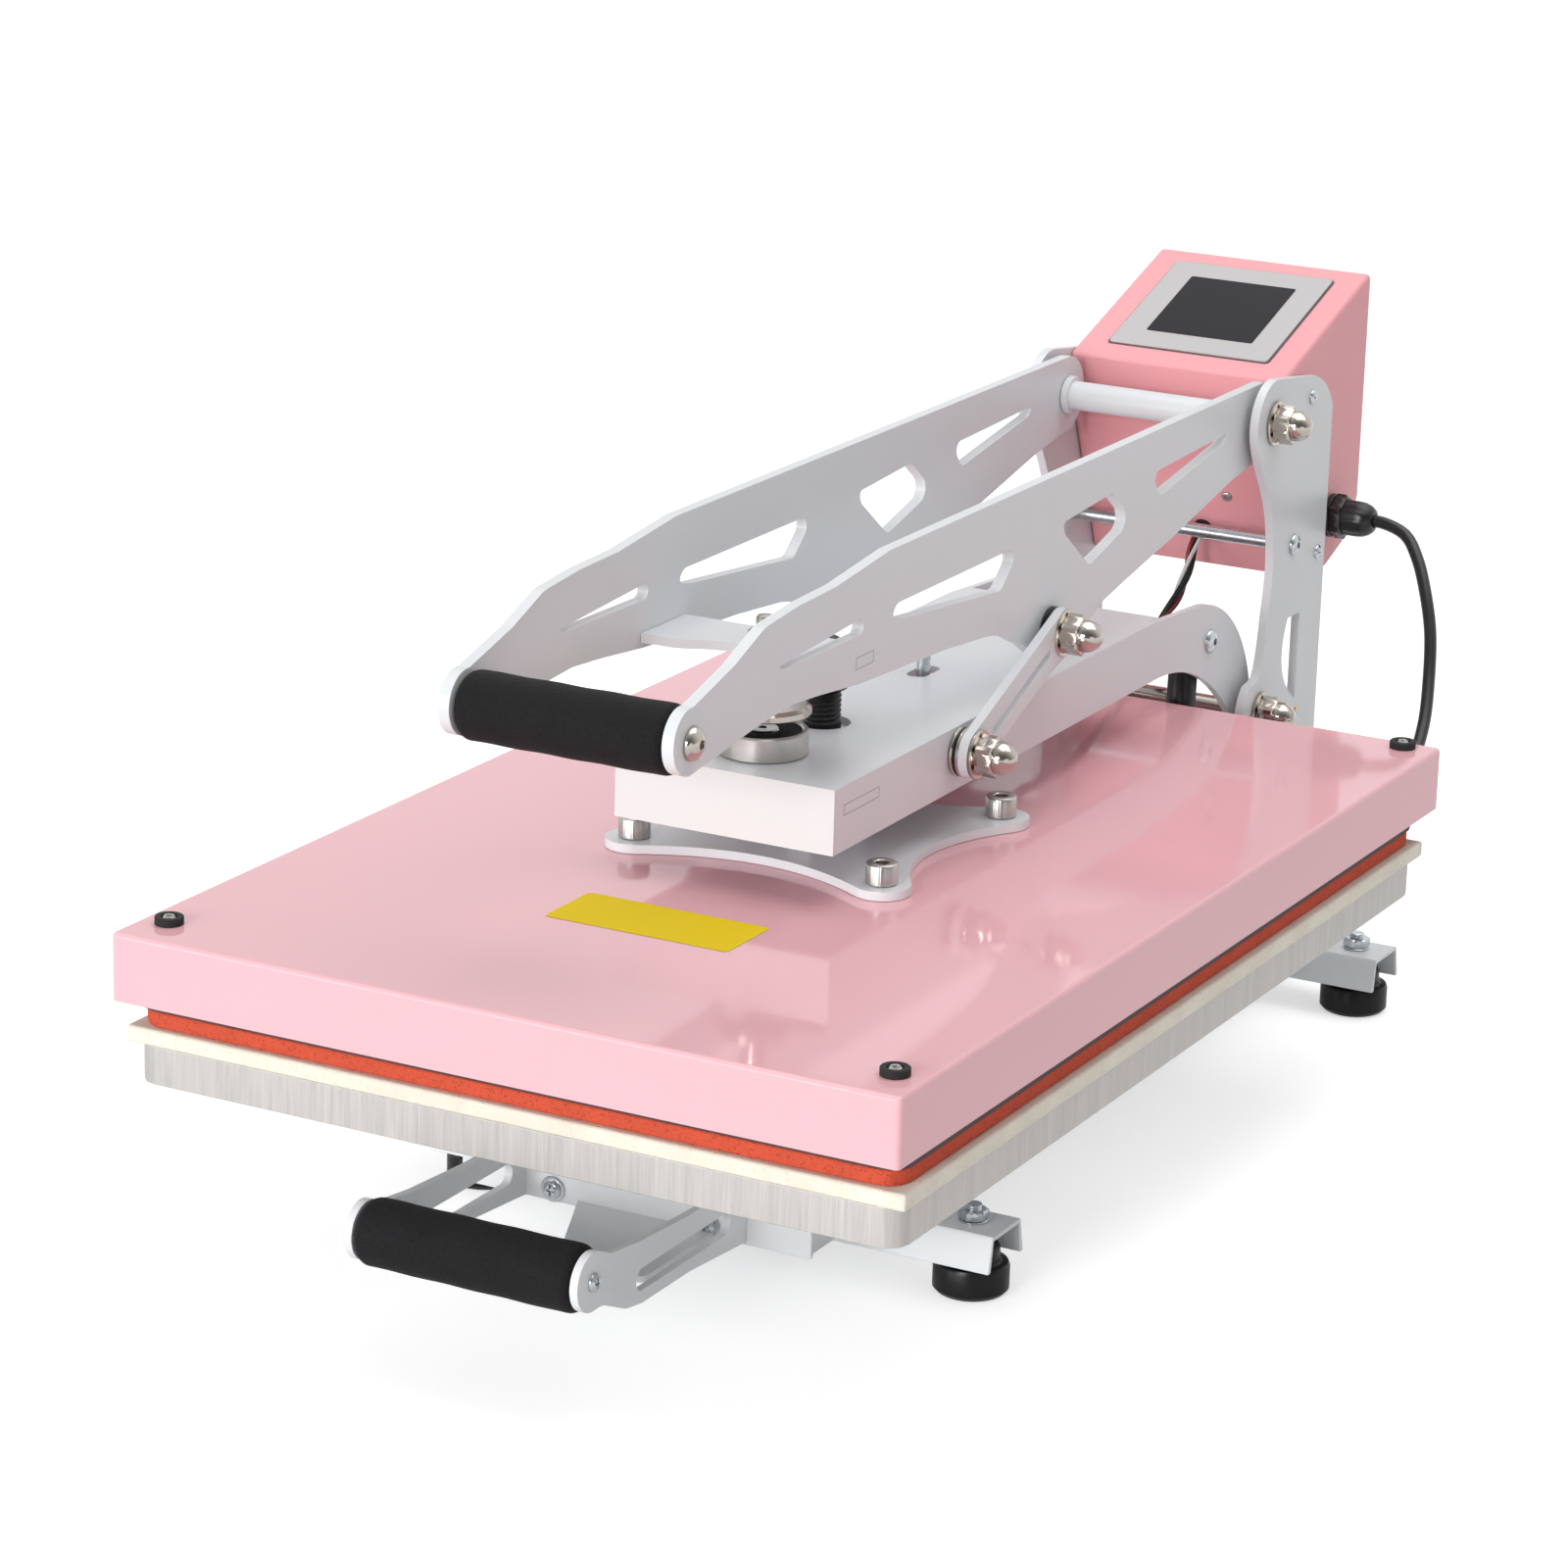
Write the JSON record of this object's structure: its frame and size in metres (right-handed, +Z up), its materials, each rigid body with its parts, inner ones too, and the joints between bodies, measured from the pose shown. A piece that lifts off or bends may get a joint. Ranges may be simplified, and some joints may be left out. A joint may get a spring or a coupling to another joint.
{
  "type": "auto-open heat press",
  "caption": "Bench heat press with a slide-out lower platen, a toggle handle, gas springs that lift the heated platen and a touch control box at the back.",
  "frame": {"origin": "centre of the footprint's bounding box, on the table that the feet stand on", "axes": "+X to the operator's right, +Y from the drawer grip towards the control box, +Z up"},
  "size_m": [0.4092, 0.8742, 0.3835],
  "materials": {
    "pink_paint": "glossy powder coat",
    "white_paint": "satin powder coat",
    "brushed_aluminium": "brushed",
    "cast_aluminium": "as cast",
    "zinc_steel": "bright zinc plated",
    "nickel_steel": "nickel plated",
    "stainless_steel": "satin",
    "chrome_steel": "polished",
    "black_steel": "black oxide",
    "black_rubber": "matte",
    "black_foam": "fine-pored foam",
    "silicone_sponge": "porous sponge",
    "cream_felt": "needled felt",
    "ceramic_fibre": "fibre blanket",
    "black_plastic": "fine grained",
    "grey_plastic": "smooth",
    "dark_glass": "gloss"
  },
  "bodies": {
    "base": {"front_leg": "white_paint", "rear_leg": "white_paint", "foot_front_left": "black_rubber", "foot_front_right": "black_rubber", "foot_rear_left": "black_rubber", "foot_rear_right": "black_rubber", "base_tray": "white_paint", "slide_rail_left": "zinc_steel", "slide_rail_right": "zinc_steel", "upright_left": "white_paint", "upright_right": "white_paint", "spacer_rod": "zinc_steel", "hinge_shaft": "nickel_steel", "handle_shaft": "nickel_steel", "spring_bracket": "zinc_steel", "control_box": "pink_paint", "box_base": "pink_paint", "screen_bezel": "grey_plastic", "touch_screen": "dark_glass", "cable_gland": "black_plastic", "power_inlet": "black_plastic", "heater_cable": "black_rubber", "magnet_lead": "black_rubber"},
    "drawer": {"slide_runner_left": "zinc_steel", "slide_runner_right": "zinc_steel", "drawer_carriage": "white_paint", "lower_platen": "brushed_aluminium", "heat_mat": "cream_felt", "silicone_pad": "silicone_sponge", "drawer_bracket": "white_paint", "drawer_grip": "black_foam"},
    "beam": {"press_beam": "white_paint", "platen_cover": "pink_paint", "heat_platen": "cast_aluminium", "insulation_blanket": "ceramic_fibre", "mount_spider": "white_paint", "pressure_hub": "zinc_steel", "electromagnet": "chrome_steel", "cap_screw_1": "stainless_steel", "cap_screw_2": "stainless_steel", "cap_screw_3": "stainless_steel", "cap_screw_4": "stainless_steel", "link_bolt_left": "nickel_steel", "link_bolt_right": "nickel_steel", "guide_stud": "zinc_steel"},
    "adjuster": {"pressure_screw": "black_steel"},
    "handle": {"handle_arm_left": "white_paint", "handle_arm_right": "white_paint", "cross_tube": "white_paint", "cross_plate": "white_paint", "armature": "nickel_steel", "handle_grip": "black_foam", "grip_bolt": "nickel_steel"},
    "left_link": {"link_left": "white_paint"},
    "right_link": {"link_right": "white_paint"},
    "left_spring_rod": {"gas_rod_left": "chrome_steel"},
    "right_spring_rod": {"gas_rod_right": "chrome_steel"},
    "left_spring_body": {"gas_cylinder_left": "black_steel"},
    "right_spring_body": {"gas_cylinder_right": "black_steel"},
    "switch": {"power_switch": "black_plastic"}
  },
  "joints": [
    {"name": "drawer_slide", "type": "slide", "parent": "base", "child": "drawer", "axis": [0, -1, 0], "range_m": [0, 0.3]},
    {"name": "press_open", "type": "hinge", "parent": "base", "child": "beam", "pos_m": [0, 0.29094, 0.1598], "axis": [-1, 0, 0], "range_deg": [0, 50], "deforming": ["heater_cable", "magnet_lead"]},
    {"name": "pressure_turn", "type": "hinge", "parent": "beam", "child": "adjuster", "pos_m": [0, -0.09906, 0.2385], "axis": [0, 0, 1], "range_deg": [-360, 360]},
    {"name": "handle_swing", "type": "hinge", "parent": "base", "child": "handle", "pos_m": [0, 0.29094, 0.3242], "axis": [-1, 0, 0], "range_deg": [0, 75.8]},
    {"name": "left_link_turn", "type": "hinge", "parent": "beam", "child": "left_link", "pos_m": [0, -0.06756, 0.2255], "axis": [1, 0, 0], "range_deg": [0, 83.7]},
    {"name": "right_link_turn", "type": "hinge", "parent": "beam", "child": "right_link", "pos_m": [0, -0.06756, 0.2255], "axis": [1, 0, 0], "range_deg": [0, 83.7]},
    {"name": "left_spring_turn", "type": "hinge", "parent": "base", "child": "left_spring_rod", "pos_m": [0, 0.23294, 0.0625], "axis": [-1, 0, 0], "range_deg": [0, 18.1]},
    {"name": "right_spring_turn", "type": "hinge", "parent": "base", "child": "right_spring_rod", "pos_m": [0, 0.23294, 0.0625], "axis": [-1, 0, 0], "range_deg": [0, 18.1]},
    {"name": "left_spring_extend", "type": "slide", "parent": "left_spring_rod", "child": "left_spring_body", "axis": [0, 0.0538, 0.9986], "range_m": [0, 0.032]},
    {"name": "right_spring_extend", "type": "slide", "parent": "right_spring_rod", "child": "right_spring_body", "axis": [0, 0.0538, 0.9986], "range_m": [0, 0.032]},
    {"name": "switch_rock", "type": "hinge", "parent": "base", "child": "switch", "pos_m": [0.017, 0.42574, 0.2902], "axis": [1, 0, 0], "range_deg": [0, 16]}
  ],
  "couplings": [
    {"joint": "handle_swing", "follows": "press_open", "ratio": 1.5151},
    {"joint": "left_link_turn", "follows": "press_open", "ratio": 1.6717},
    {"joint": "left_spring_turn", "follows": "press_open", "ratio": 0.361},
    {"joint": "left_spring_extend", "follows": "press_open", "m_per_rad": 0.036578},
    {"joint": "right_link_turn", "follows": "press_open", "ratio": 1.6717},
    {"joint": "right_spring_turn", "follows": "press_open", "ratio": 0.361},
    {"joint": "right_spring_extend", "follows": "press_open", "m_per_rad": 0.036578}
  ]
}
